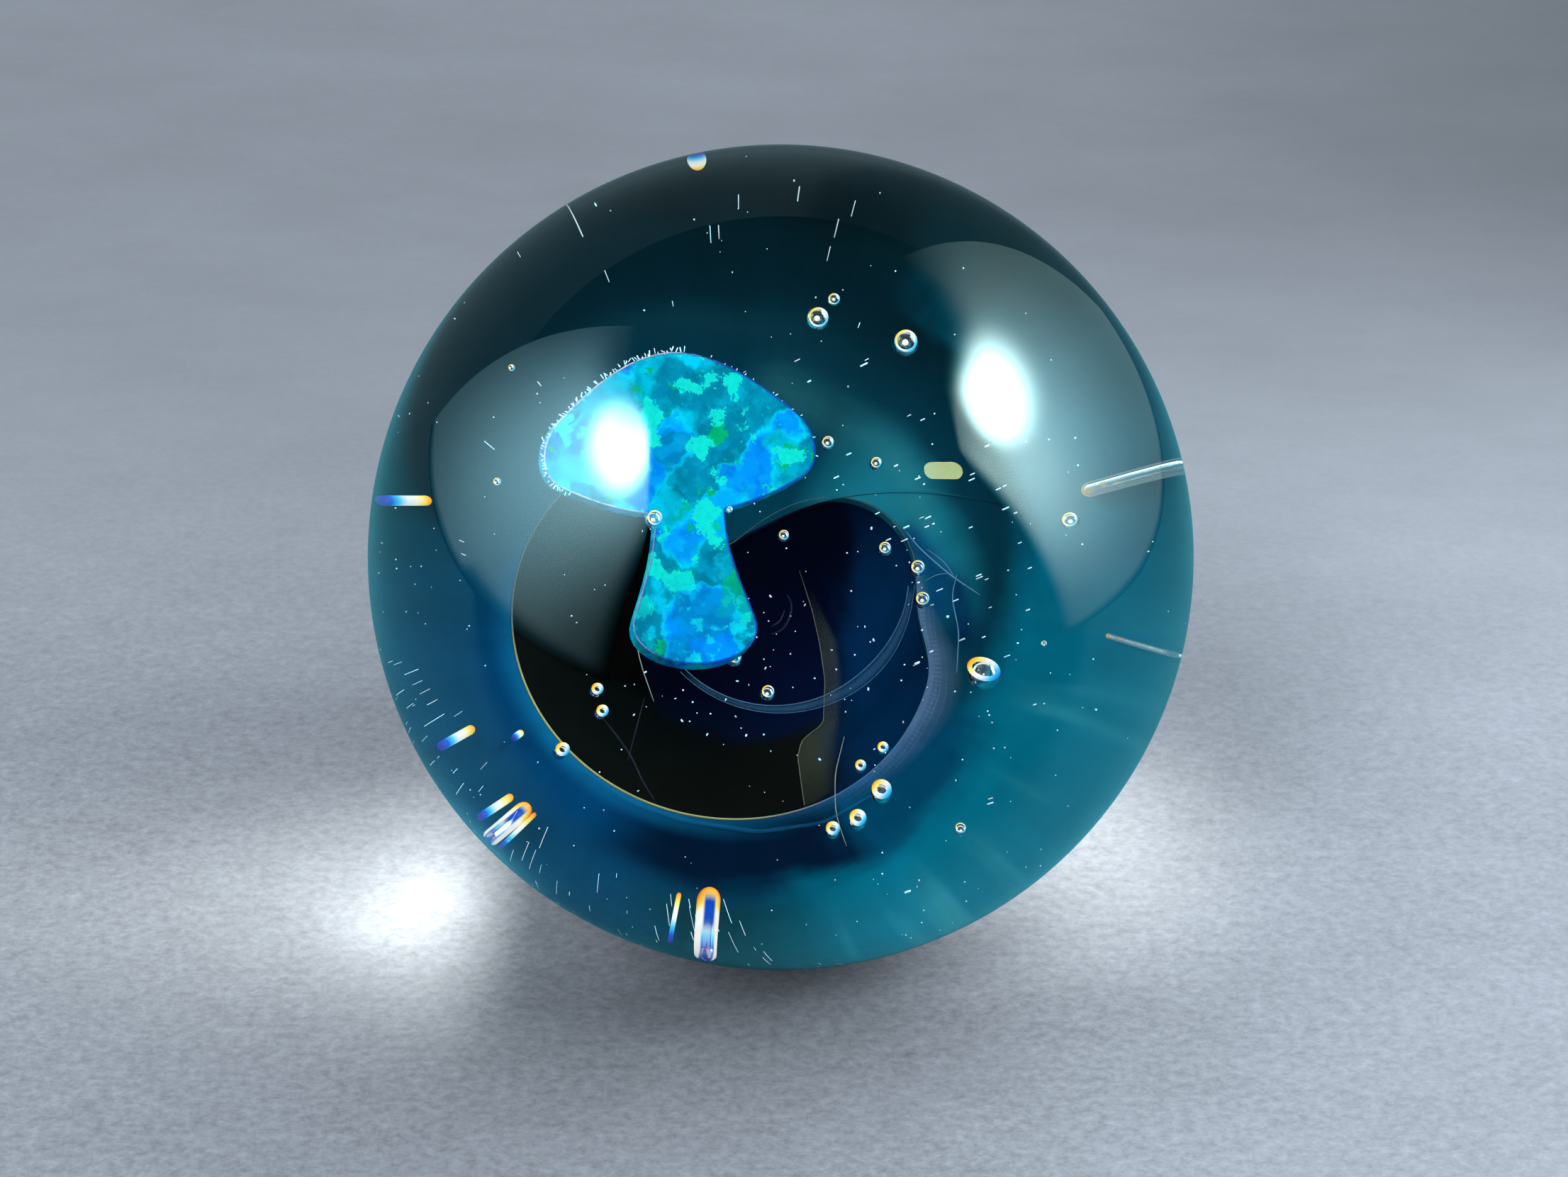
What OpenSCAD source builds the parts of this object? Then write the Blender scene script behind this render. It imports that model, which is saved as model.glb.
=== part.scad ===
// Art glass marble: a clear glass ball with a flat opal mushroom in front of a twisted, coloured
// glass backing. The backing is a shallow bowl of three colours that wind round a dark well.
// The ball's centre is the origin. The window is the clear face that the bowl opens towards, and
// every inner piece is laid out on the window's own axis before the whole is tilted to its pose.

/* [Marble] */
// Diameter of the glass ball
marble_d = 44; // [42:1:60]
// Clear glass between the coloured backing and the ball's surface
casing = 0.9; // [0.6:0.1:1.5]
// Lean of the window's axis from upright, towards the front
window_tilt = 38; // [0:1:80]
// Turn of that lean round the vertical, towards the right
window_turn = 12; // [-180:1:180]

/* [Backing] */
// Depth of the backing's rim below the ball's centre
rim_drop = 6.5; // [5:0.5:8]
// Depth of the bowl's middle below the ball's centre
bowl_depth = 11.5; // [10:0.5:12.5]
// Angle through which the colours wind as the bowl triples in width
colour_twist = 55; // [0:5:120]
// Share of the turn that the deep green colour takes, in degrees
green_span = 120; // [90:5:160]
// Share of the turn that the blue colour takes, in degrees
blue_span = 110; // [60:5:120]

/* [Well] */
// Radius of the dark well in the bowl's middle
well_r = 6.3; // [5:0.1:7.5]
// How far the well lies off the window's axis
well_offset = 0.5; // [0:0.1:1]
// Thickness of the coloured lip over the well
lip_t = 0.8; // [0.5:0.1:1.2]
// Depth of the well's funnel below the lip
funnel_depth = 6; // [3:0.5:6.5]
// How far the green tongue of the swirl reaches in over the well
tongue_reach = 3.4; // [1:0.1:3.8]
// Width of the dark glass left round the funnel, under the lip
core_wall = 0.9; // [0.5:0.1:1.5]

/* [Opal mushroom] */
// Height of the mushroom, from the foot to the top of the cap
opal_h = 11.8; // [8:0.2:13]
// Width of the cap
cap_w = 10.3; // [8:0.1:11.5]
// Height of the cap
cap_h = 6.4; // [4.5:0.1:7]
// Width of the stem at the neck
neck_w = 2.6; // [2:0.1:3.5]
// Width of the stem at the foot
foot_w = 4.7; // [3.6:0.1:5.4]
// Thickness of the opal slab
opal_t = 0.9; // [0.7:0.1:2]
// Height of the slab's lower face over the ball's centre
opal_rise = 0; // [-1:0.5:2]
// Lean of the mushroom in its own plane
opal_lean = -7.5; // [-20:0.5:20]

/* [Ribbons] */
// Thickness of the glass ribbons
ribbon_t = 0.18; // [0.12:0.02:0.3]
// Width of the pale ribbon that winds through the well
inner_ribbon_w = 0.9; // [0.5:0.1:1.2]
// Radius of that ribbon's turn
inner_ribbon_r = 3.75; // [3:0.05:4]
// Greatest width of the pale ribbon that lies round the well on the bowl
outer_ribbon_w = 1.2; // [0.4:0.1:1.5]
// Greatest width of the gold fumed ribbon
gold_ribbon_w = 1.3; // [0.6:0.1:1.5]

/* [Bubbles] */
// Diameter of the largest bubble
bubble_d = 1; // [0.5:0.1:1.3]
// Diameter of the thickest bubble that is drawn out along the backing
streak_d = 0.7; // [0.4:0.05:0.8]
// Clear glass between the drawn-out bubbles and the backing
streak_gap = 0.2; // [0.1:0.05:0.5]

/* [Hidden] */
$fn = 96;

marble_r = marble_d / 2;
cased_r = marble_r - casing;
rim_r = sqrt(cased_r * cased_r - rim_drop * rim_drop);

// The bowl is part of a large sphere that passes through the backing's rim and the bowl's middle.
bowl_sag = bowl_depth - rim_drop;
bowl_r = (rim_r * rim_r + bowl_sag * bowl_sag) / (2 * bowl_sag);
bowl_centre_z = bowl_r - bowl_depth;
function bowl_z(r) = bowl_centre_z - sqrt(bowl_r * bowl_r - r * r);

lip_z = bowl_z(well_r) - lip_t;
funnel_tip_z = lip_z - funnel_depth;
well_at = well_offset * [-0.64, 0.77];

// Spare length of a shape that cuts right through
past = marble_r / 20;

function polar(r, a) = [r * cos(a), r * sin(a)];
function mix(a, b, share) = a + (b - a) * share;
function smooth(x) = x * x * (3 - 2 * x);

// Well: a slightly oval hole, pinched on the right. The green tongue covers its edge from
// tongue_from to tongue_to.
well_oval = 0.035;
well_oval_a = 165;
well_pinch = 0.4;
pinch_a = -3;
pinch_span = 21;
tongue_from = 18;
tongue_tip = 80;
tongue_to = 126;
step_a = 3;
function tongue_share(a) =
    a < tongue_tip ? pow(smooth((a - tongue_from) / (tongue_tip - tongue_from)), 1.35)
                   : pow(smooth((tongue_to - a) / (tongue_to - tongue_tip)), 0.6);
function tongue(a) = a > tongue_from && a < tongue_to ? tongue_reach * tongue_share(a) : 0;
function pinch(a) =
    abs(a - pinch_a) < pinch_span ? well_pinch * pow(cos(90 * (a - pinch_a) / pinch_span), 2) : 0;
function well_oval_r(a) = well_r * (1 + well_oval * cos(2 * (a - well_oval_a)));
function well_edge(a) = well_oval_r(a) - tongue(a) - pinch(a);

// Colours: each boundary is a logarithmic spiral, which starts at its angle on the well's edge.
blue_from = 175;
teal_from = blue_from + blue_span;
green_from = blue_from - green_span;
function spiral_a(from, r) = from - colour_twist * ln(r / well_r) / ln(3);
spiral_steps = 14;
start_r = 0.5 * well_r;
reach_r = 1.2 * marble_r;
function spiral_edge(from) = [
    for (i = [0 : spiral_steps])
        let (r = mix(start_r, reach_r, i / spiral_steps)) polar(r, spiral_a(from, r))
];
function backwards(list) = [for (i = [len(list) - 1 : -1 : 0]) list[i]];
arc_steps = 8;
function far_arc(from, to) = [
    for (i = [1 : arc_steps - 1])
        polar(reach_r * 1.2, spiral_a(mix(from, to, i / arc_steps), reach_r))
];

// Opal mushroom: half of its outline, in its own frame with the neck's middle at the origin. The
// cap sits a little off the stem and leans on it.
opal_x = -3.3;
opal_y = 1.55;
cap_shift = -0.3;
cap_lean = 1.5;
cap_half = cap_w / 2;
neck_half = neck_w / 2;
foot_half = foot_w / 2;
foot_y = cap_h - opal_h;
under_y = 0.07 * cap_h;
brim_y = 0.43 * cap_h;
flare_y = 0.71 * foot_y;
CAP_HALF = [
    [[0, cap_h], [0.29 * cap_half, cap_h], [0.57 * cap_half, 0.84 * cap_h],
     [0.85 * cap_half, brim_y + 0.21 * cap_h]],
    [[0.85 * cap_half, brim_y + 0.21 * cap_h], [1.03 * cap_half, brim_y + 0.09 * cap_h],
     [1.03 * cap_half, brim_y - 0.10 * cap_h], [0.91 * cap_half, brim_y - 0.17 * cap_h]],
    [[0.91 * cap_half, brim_y - 0.17 * cap_h], [0.78 * cap_half, under_y + 0.13 * cap_h],
     [0.55 * cap_half, under_y + 0.04 * cap_h], [neck_half, under_y]]
];
STEM_HALF = [
    [[neck_half, under_y], [0.98 * neck_half, 0.25 * foot_y], [0.93 * foot_half, 0.80 * flare_y],
     [foot_half, flare_y]],
    [[foot_half, flare_y], [1.05 * foot_half, 0.88 * foot_y], [0.55 * foot_half, foot_y],
     [0, foot_y]]
];
curve_steps = 8;
function curve_at(c, t) =
    pow(1 - t, 3) * c[0] + 3 * pow(1 - t, 2) * t * c[1] + 3 * (1 - t) * t * t * c[2]
    + pow(t, 3) * c[3];
function half_outline(curves, from) = [
    for (k = [0 : len(curves) - 1])
        for (i = [from : curve_steps])
            if (i > 0 || k == 0) curve_at(curves[k], i / curve_steps)
];
function mirrored(list) = [for (p = backwards(list)) [-p.x, p.y]];

// Inner ribbon: an arc that starts on the well's edge and sinks into the funnel as it turns.
ribbon_steps = 24;
inner_turn_x = 2.05;
inner_turn_y = 1.8;
inner_from = -12;
inner_to = -150;
inner_lean = 40;
inner_sink = 0.45;
inner_drop = 2.4;
inner_taper = 0.45;
function inner_a(s) = mix(inner_from, inner_to, s);
function inner_centre(s) =
    let (xy = [inner_turn_x, inner_turn_y] + polar(inner_ribbon_r, inner_a(s)))
    [xy.x, xy.y, bowl_z(well_r) - inner_sink - inner_drop * s];
function inner_across(s) =
    let (out = polar(sin(inner_lean), inner_a(s)))
    [out.x, out.y, cos(inner_lean)];
function inner_normal(s) =
    let (out = polar(-cos(inner_lean), inner_a(s)))
    [out.x, out.y, sin(inner_lean)];

// Gold ribbon: it hangs across the funnel, from under the tongue to the front of the well, and
// steps out to its full width near the front. Each row is [place, right edge, share of its width].
gold_back_drop = 1.7;
gold_front_drop = 0.9;
GOLD_ROWS = [
    [2.4, 2.82, 0.08], [1.1, 3.24, 0.28], [0, 3.54, 0.48], [-1.15, 3.44, 0.44],
    [-2.5, 3.12, 0.42], [-2.9, 3.04, 0.92], [-3.4, 2.9, 1], [-4.2, 2.76, 0.93], [-4.9, 2.66, 0.86]
];
gold_back = GOLD_ROWS[0][0];
gold_front = GOLD_ROWS[len(GOLD_ROWS) - 1][0];
function gold_z(y) =
    lip_z - mix(gold_back_drop, gold_front_drop, (gold_back - y) / (gold_back - gold_front));
function gold_ring(row) =
    let (half = gold_ribbon_w * row[2] / 2)
    ring_at([row[1] - half, row[0], gold_z(row[0])], [half, 0, 0], [0, 0, ribbon_t / 2]);

// Outer ribbon: a crescent on the bowl. It starts on the right, is widest soon after, and runs
// out along the front. Each width is [place along the ribbon, share of the greatest width].
outer_from = 15;
outer_to = -105;
OUTER_WIDTHS = [[0, 0], [0.12, 0.35], [0.3, 1], [0.5, 0.62], [0.75, 0.36], [1, 0]];
function outer_width(a) =
    outer_ribbon_w * lookup((outer_from - a) / (outer_from - outer_to), OUTER_WIDTHS);

// Round bubbles: each is [across, up, depth, size]. The depth is a share of the way from the opal's
// level down to the bowl (negative) or up to the ball's surface (positive), and the size is a
// share of the largest bubble.
BUBBLES = [
    [2.5, 8.3, 0.05, 0.9], [3.2, 8.9, 0.06, 0.5], [5.6, 7.0, 0.02, 1], [2.5, 4.1, -0.09, 0.5],
    [4.2, 3.3, -0.18, 0.45], [-4.9, 1.7, 0.05, 0.7], [-1.9, 1.7, 0.04, 0.25],
    [1.2, 2.0, -0.53, 0.4], [4.7, 1.5, -0.71, 0.45], [5.8, 1.1, -0.87, 0.5],
    [5.8, 0.1, -0.88, 0.5], [7.1, -3.3, -0.64, 1], [-1.8, -2.8, -0.26, 0.55],
    [0.1, -2.8, -0.70, 0.5], [-5.5, -1.9, -0.73, 0.4], [-5.2, -2.4, -0.81, 0.4],
    [-6.4, -3.2, -0.91, 0.45], [3.8, -4.5, -0.88, 0.35], [3.0, -5.0, -0.88, 0.35],
    [3.4, -6.2, -0.82, 0.65], [2.5, -7.0, -0.83, 0.55], [1.7, -7.1, -0.86, 0.45],
    [5.6, -8.1, -0.75, 0.4], [10.4, 1.2, -0.60, 0.55], [-6.8, 8.7, -0.58, 0.25],
    [-8.1, 5.1, -0.57, 0.3], [9.1, -2.2, -0.76, 0.2], [0.4, 13.7, -0.59, 0.55]
];

// Drawn-out bubbles: each is [distance from the axis, angle, length, turn from the outward way,
// share of the greatest thickness].
STREAKS = [
    [10.6, 150, 1.4, 26, 0.4], [9.6, 193, 1.4, 10, 0.4], [7.7, 197, 0.4, 12, 0.3],
    [9.8, 208, 1.6, 0, 0.35], [10.1, 212, 2.4, 2, 0.75], [9.8, 214, 2.1, 3, 0.2],
    [9.6, 248, 2.0, 0, 0.2], [10.0, 254, 3.1, 0, 1], [11.9, 14, 1.9, -8, 0.6],
    [11.3, -9, 1.2, -20, 0.2]
];

// The whole marble leans as it rests on show.
module posed() {
    rotate([0, 0, window_turn])
        rotate([window_tilt, 0, 0])
            children();
}

module well_outline() {
    translate(well_at)
        polygon([for (a = [0 : step_a : 360 - step_a]) polar(well_edge(a), a)]);
}

// The clear space of the well: straight under the lip's edge, then a funnel down to its tip.
module well_space() {
    mouth_r = 1.05 * well_r;
    intersection() {
        translate([0, 0, funnel_tip_z - past])
            linear_extrude(height = -funnel_tip_z)
                well_outline();
        translate(well_at)
            rotate_extrude()
                polygon([
                    [0, funnel_tip_z],
                    [mouth_r * 0.18, mix(funnel_tip_z, lip_z, 0.12)],
                    [mouth_r * 0.42, mix(funnel_tip_z, lip_z, 0.36)],
                    [mouth_r * 0.70, mix(funnel_tip_z, lip_z, 0.68)],
                    [mouth_r, lip_z],
                    [mouth_r, 0],
                    [0, 0]
                ]);
    }
}

// The whole coloured backing, before it is shared out among the colours and the dark core.
module backing() {
    difference() {
        rotate([90, 0, 0])
            sphere(r = cased_r);
        translate([0, 0, bowl_centre_z])
            sphere(r = bowl_r);
        well_space();
    }
}

// The dark core's room: it lies under the lip and narrows to a round patch at the back.
module core_room() {
    top_r = well_r + core_wall;
    translate([well_at.x, well_at.y, -marble_r])
        cylinder(h = marble_r + lip_z, r1 = top_r * 0.7, r2 = top_r);
}

module swirl(from, to) {
    difference() {
        intersection() {
            backing();
            translate([0, 0, -marble_r])
                linear_extrude(height = marble_r)
                    polygon(concat(spiral_edge(from), far_arc(from, to),
                                   backwards(spiral_edge(to))));
        }
        core_room();
    }
}

// The flat opal slab, with its face square to the window's axis.
module opal_slab() {
    cap = half_outline(CAP_HALF, 0);
    stem = half_outline(STEM_HALF, 1);
    translate([opal_x, opal_y, opal_rise])
        rotate(opal_lean)
            linear_extrude(height = opal_t) {
                translate([cap_shift, 0])
                    rotate(cap_lean)
                        polygon(concat(mirrored(cap), cap));
                polygon(concat([[neck_half, under_y + 0.3 * cap_h]], [[neck_half, under_y]],
                               stem, mirrored(stem), [[-neck_half, under_y]],
                               [[-neck_half, under_y + 0.3 * cap_h]]));
            }
}

// A ribbon of glass swept along its rings of four corners each, in order round the section.
module swept(rings) {
    last = len(rings) - 1;
    polyhedron(
        points = [for (ring = rings) for (corner = ring) corner],
        faces = concat(
            [[0, 1, 2], [0, 2, 3]],
            [[last * 4, last * 4 + 2, last * 4 + 1], [last * 4, last * 4 + 3, last * 4 + 2]],
            [for (i = [0 : last - 1])
                for (k = [0 : 3])
                    [i * 4 + k, i * 4 + 4 + k, i * 4 + (k + 1) % 4]],
            [for (i = [0 : last - 1])
                for (k = [0 : 3])
                    [i * 4 + 4 + k, i * 4 + 4 + (k + 1) % 4, i * 4 + (k + 1) % 4]]
        ),
        convexity = 4
    );
}
function ring_at(centre, across, normal) =
    [centre - across - normal, centre + across - normal, centre + across + normal,
     centre - across + normal];

// The ribbons in the well run on into the backing, and each is trimmed where it meets the wall.
module inner_sweep() {
    swept([
        for (i = [0 : ribbon_steps])
            let (s = i / ribbon_steps, w = inner_ribbon_w * mix(1, inner_taper, s))
            ring_at(inner_centre(s), inner_across(s) * w / 2, inner_normal(s) * ribbon_t / 2)
    ]);
}

module gold_sweep() { swept([for (row = GOLD_ROWS) gold_ring(row)]); }

module in_well() {
    intersection() {
        children();
        well_space();
    }
}

module outer_strip() {
    angles = [for (a = [outer_from : -step_a : outer_to]) a];
    intersection() {
        translate([well_at.x, well_at.y, -bowl_depth - past])
            linear_extrude(height = bowl_depth)
                polygon(concat([for (a = angles) polar(well_edge(a), a)],
                               [for (a = backwards(angles))
                                    polar(well_edge(a) + outer_width(a), a)]));
        difference() {
            translate([0, 0, bowl_centre_z])
                sphere(r = bowl_r);
            translate([0, 0, bowl_centre_z])
                sphere(r = bowl_r - ribbon_t);
        }
    }
}

// Bubbles are voids in the clear glass.
module bubbles() {
    opal_top = opal_rise + opal_t;
    for (b = BUBBLES) {
        r = norm([b[0], b[1]]);
        z = b[2] < 0 ? opal_rise - b[2] * (bowl_z(r) - opal_rise)
                     : opal_top + b[2] * (sqrt(marble_r * marble_r - r * r) - opal_top);
        translate([b[0], b[1], z])
            sphere(d = bubble_d * b[3]);
    }
}

module streaks() {
    for (k = STREAKS) {
        d = streak_d * k[4];
        translate([k[0] * cos(k[1]), k[0] * sin(k[1]), bowl_z(k[0]) + streak_gap + d / 2])
            rotate([0, -asin(k[0] / bowl_r), k[1]])
                rotate(k[3])
                    capsule(max(k[2], d), d);
    }
}

// A rod with round ends, along X.
end_steps = 5;
module capsule(length, d) {
    straight = length - d;
    function rounding(i, end) =
        [d / 2 * sin(90 * i / end_steps), end * (straight + d * cos(90 * i / end_steps)) / 2];
    rotate([0, 90, 0])
        rotate_extrude()
            polygon(concat([for (i = [0 : end_steps]) rounding(i, -1)],
                           [for (i = [end_steps : -1 : 0]) rounding(i, 1)]));
}

module clear_glass() {
    color("aliceblue", 0.3)
        posed()
            difference() {
                sphere(r = marble_r);
                backing();
                opal_slab();
                inner_sweep();
                outer_strip();
                gold_sweep();
                bubbles();
                streaks();
            }
}

module opal_mushroom() { color("deepskyblue") posed() opal_slab(); }

module green_swirl() { color("darkslategray") posed() swirl(green_from, blue_from); }

module blue_swirl() { color("midnightblue") posed() swirl(blue_from, teal_from); }

module teal_swirl() { color("darkcyan") posed() swirl(teal_from, green_from + 360); }

module dark_core() {
    color("black")
        posed()
            intersection() {
                backing();
                core_room();
            }
}

module inner_ribbon() { color("lightskyblue") posed() in_well() inner_sweep(); }

module outer_ribbon() { color("lightblue") posed() outer_strip(); }

module gold_ribbon() { color("darkkhaki") posed() in_well() gold_sweep(); }

clear_glass();
opal_mushroom();
green_swirl();
blue_swirl();
teal_swirl();
dark_core();
inner_ribbon();
outer_ribbon();
gold_ribbon();
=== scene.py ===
"""Art glass marble: the finish of each glass piece, and the studio it stands in.

Every piece is laid out in millimetres on the window's axis, as the solids are, and then leans with
the marble to its show pose.
"""
import math
import bmesh
import bpy
import numpy as np
from mathutils import Euler, Matrix, Vector


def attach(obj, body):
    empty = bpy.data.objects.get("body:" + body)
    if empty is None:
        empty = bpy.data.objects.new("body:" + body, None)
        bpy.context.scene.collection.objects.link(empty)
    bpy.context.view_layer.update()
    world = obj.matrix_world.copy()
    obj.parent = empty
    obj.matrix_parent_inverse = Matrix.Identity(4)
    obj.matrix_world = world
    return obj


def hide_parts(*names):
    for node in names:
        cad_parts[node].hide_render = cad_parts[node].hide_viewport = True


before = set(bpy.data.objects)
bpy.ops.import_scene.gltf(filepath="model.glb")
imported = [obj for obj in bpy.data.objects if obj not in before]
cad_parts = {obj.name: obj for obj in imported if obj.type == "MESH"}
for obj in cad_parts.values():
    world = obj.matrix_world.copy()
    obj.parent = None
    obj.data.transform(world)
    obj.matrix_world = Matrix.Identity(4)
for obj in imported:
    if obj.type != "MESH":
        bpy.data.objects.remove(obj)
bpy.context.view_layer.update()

MM = 0.001
BODY = "root"

# ---- Sizes, in millimetres and degrees ----
MARBLE_R = 22.0
CASED_R = 21.1
RIM_DROP = 6.5
BOWL_DEPTH = 11.5
WINDOW_TILT, WINDOW_TURN = 38.0, 12.0
COLOUR_TWIST = 55.0
GREEN_FROM, BLUE_FROM, TEAL_FROM = 55.0, 175.0, 285.0

WELL_R = 6.3
WELL_AT = np.array([-0.32, 0.385])
WELL_OVAL, WELL_OVAL_A = 0.035, 165.0
WELL_PINCH, PINCH_A, PINCH_SPAN = 0.4, -3.0, 21.0
TONGUE_REACH, TONGUE_FROM, TONGUE_TIP, TONGUE_TO = 3.4, 18.0, 80.0, 126.0
LIP_T = 0.8
FUNNEL_DEPTH = 6.0
CORE_WALL = 0.9

# How the ribbons run round the well, and how wide they are; the outer one's width along it
INNER_AT, INNER_R, INNER_FROM, INNER_TO = np.array([2.05, 1.8]), 3.75, -12.0, -150.0
INNER_LEAN, INNER_DROP, INNER_W = 40.0, 2.4, 0.9
OUTER_FROM, OUTER_TO, OUTER_W = 15.0, -105.0, 1.2
OUTER_SHARE = [(0, 0), (0.12, 0.35), (0.3, 1.0), (0.5, 0.62), (0.75, 0.36), (1, 0)]
VEIL_T = 0.06

# The largest bubble, how far out the round ones show a ring, and the lowest place of a seed
BUBBLE_MOST, RINGS_TO, WELL_FLOOR = 4.5, 12, -13
# Between points along a fine line
LINE_STEP = 0.12

RIM_R = math.sqrt(CASED_R**2 - RIM_DROP**2)
BOWL_SAG = BOWL_DEPTH - RIM_DROP
BOWL_R = (RIM_R**2 + BOWL_SAG**2) / (2 * BOWL_SAG)
BOWL_CENTRE_Z = BOWL_R - BOWL_DEPTH

LEAN = Euler((math.radians(WINDOW_TILT), 0, math.radians(WINDOW_TURN)), "XYZ")
POSE = LEAN.to_matrix().to_4x4()


def bowl_z(r):
    """Height of the bowl at a distance from the window's axis."""
    return BOWL_CENTRE_Z - np.sqrt(BOWL_R**2 - np.asarray(r, float) ** 2)


LIP_Z = float(bowl_z(WELL_R)) - LIP_T
TIP_Z = LIP_Z - FUNNEL_DEPTH
INNER_Z = float(bowl_z(WELL_R)) - 0.45


def smooth(x):
    x = np.clip(x, 0, 1)
    return x * x * (3 - 2 * x)


def wrap(a):
    """Angles in degrees, from -180 to 180."""
    return (np.asarray(a, float) + 180) % 360 - 180


def polar(r, a):
    a = np.radians(a)
    return np.stack([r * np.cos(a), r * np.sin(a)], -1)


def well_edge(a):
    """Distance of the well's edge from the well's middle: an oval, pinched on the right, with
    the green tongue over it at the top."""
    a = wrap(a)
    oval = WELL_R * (1 + WELL_OVAL * np.cos(np.radians(2 * (a - WELL_OVAL_A))))
    rise = smooth((a - TONGUE_FROM) / (TONGUE_TIP - TONGUE_FROM)) ** 1.35
    fall = smooth((TONGUE_TO - a) / (TONGUE_TO - TONGUE_TIP)) ** 0.6
    tongue = TONGUE_REACH * np.where(a < TONGUE_TIP, rise, fall)
    pinch = WELL_PINCH * np.cos(np.radians(90) * np.clip((a - PINCH_A) / PINCH_SPAN, -1, 1)) ** 2
    return oval - tongue - pinch


def spiral(a_at_well, r):
    """Angle at radius r of the colour line that starts at that angle on the well's edge."""
    return a_at_well - COLOUR_TWIST * np.log(np.maximum(r, 1.0) / WELL_R) / math.log(3)


def centre_at(r):
    """The rings are centred on the well near it, and on the window's axis at the rim."""
    share = 1 - smooth((np.asarray(r, float) - WELL_R) / (RIM_R - WELL_R))
    return share[..., None] * WELL_AT


def funnel_z(r):
    """Height of the funnel's wall at a distance from the well's middle."""
    mouth = WELL_R + 0.3
    rises = np.array([0, 0.12, 0.36, 0.68, 1.0])
    heights = TIP_Z + (LIP_Z - TIP_Z) * rises
    return np.interp(np.asarray(r) / mouth, [0, 0.18, 0.42, 0.70, 1.0], heights)


def raised(flat, z):
    """Points on the window's plane, lifted to heights z."""
    z = np.broadcast_to(np.asarray(z, float), flat.shape[:-1])
    return np.concatenate([flat, z[..., None]], -1)


def laid_on_bowl(flat, lift=0.0):
    """Points on the window's plane, laid on the bowl or a little over it."""
    return raised(flat, bowl_z(np.linalg.norm(flat, axis=-1)) + lift)


def distances(path):
    """How far along a path each of its points lies."""
    return np.concatenate([[0], np.cumsum(np.linalg.norm(np.diff(path, axis=0), axis=1))])


def places_on(path, at):
    """The places on a path at these distances from its start."""
    run = distances(path)
    return np.stack([np.interp(at, run, line) for line in np.transpose(path)], -1)


def softened(values, over):
    """A row of numbers averaged over an odd number of neighbours."""
    return np.convolve(np.pad(values, over // 2, "edge"), np.full(over, 1 / over), "valid")


def stroke(x, y, path, widths):
    """1 along a soft stroke on the window's plane, fading out over its width."""
    path = np.array(path, float)
    widths = np.linspace(*widths, len(path))
    most = np.zeros_like(x)
    for (ax, ay), (bx, by), wa, wb in zip(path, path[1:], widths, widths[1:]):
        ex, ey = bx - ax, by - ay
        t = np.clip(((x - ax) * ex + (y - ay) * ey) / (ex**2 + ey**2), 0, 1)
        away = np.hypot(x - ax - t * ex, y - ay - t * ey)
        most = np.maximum(most, np.exp(-((away / (wa + (wb - wa) * t)) ** 2)))
    return most


# Soft strokes in the backing, on the window's plane
VEIL_ARM = [(2.6, 7.4), (4.2, 6.4), (5.5, 5.3), (6.0, 4.3), (6.2, 3.4), (6.3, 2.8)]
BLUE_WEB = [(5.9, 2.5), (6.25, 1.7), (6.45, 1.0), (6.3, 0.2)]
DARK_WEDGE = [(7.0, 0.7), (7.05, 0.0), (6.95, -0.9)]


# ---- Mesh making ----
def made_object(name, points, faces, material, fields=None):
    """A smooth mesh object from points in millimetres, with one number at each point for every
    field."""
    mesh = bpy.data.meshes.new(name)
    mesh.from_pydata([tuple(p) for p in np.asarray(points) * MM], [], faces)
    mesh.validate()
    for key, values in (fields or {}).items():
        layer = mesh.attributes.new(key, "FLOAT", "POINT")
        layer.data.foreach_set("value", np.asarray(values, np.float32).ravel())
    mesh.shade_smooth()
    mesh.materials.append(material)
    thing = bpy.data.objects.new(name, mesh)
    bpy.context.scene.collection.objects.link(thing)
    return thing


def add_piece(name, points, faces, material, slot, replaces=(), sharp=None, fields=None):
    """A piece from points in the window's frame, leaned to the show pose. Edges that turn by
    more than the sharp angle stay crisp."""
    leaned = np.asarray(points) @ np.array(LEAN.to_matrix()).T
    piece = made_object(name, leaned, faces, material, fields)
    if sharp:
        piece.data.set_sharp_from_angle(angle=math.radians(sharp))
    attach(piece, BODY)
    if replaces:
        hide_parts(*replaces)
    return piece


def grid_faces(rows, columns, wrap_rows=False, wrap_columns=False):
    """Faces between the points of a grid, that may close on itself either way."""
    faces = []
    for i in range(rows if wrap_rows else rows - 1):
        here, there = i * columns, (i + 1) % rows * columns
        for j in range(columns if wrap_columns else columns - 1):
            k = (j + 1) % columns
            faces.append((here + j, here + k, there + k, there + j))
    return faces


def closed_faces(rows, ring):
    """Faces over a row of rings, with both ends shut."""
    ends = [tuple(range(ring))[::-1], tuple(range((rows - 1) * ring, rows * ring))]
    return grid_faces(rows, ring, wrap_columns=True) + ends


class Pile:
    """Collects closed shells into one piece."""

    def __init__(self):
        self.points, self.faces, self.count = [], [], 0

    def add(self, points, faces):
        self.points.append(np.asarray(points, float))
        self.faces += [tuple(v + self.count for v in f) for f in faces]
        self.count += len(points)

    def piece(self, name, material, slot, **more):
        points = np.concatenate(self.points)
        return add_piece(name, points, self.faces, material, slot, **more)


def taken(work):
    """The points and faces of a mesh under work, which is freed."""
    work.verts.index_update()
    points = np.array([v.co[:] for v in work.verts])
    faces = [tuple(v.index for v in f.verts) for f in work.faces]
    work.free()
    return points, faces


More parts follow.
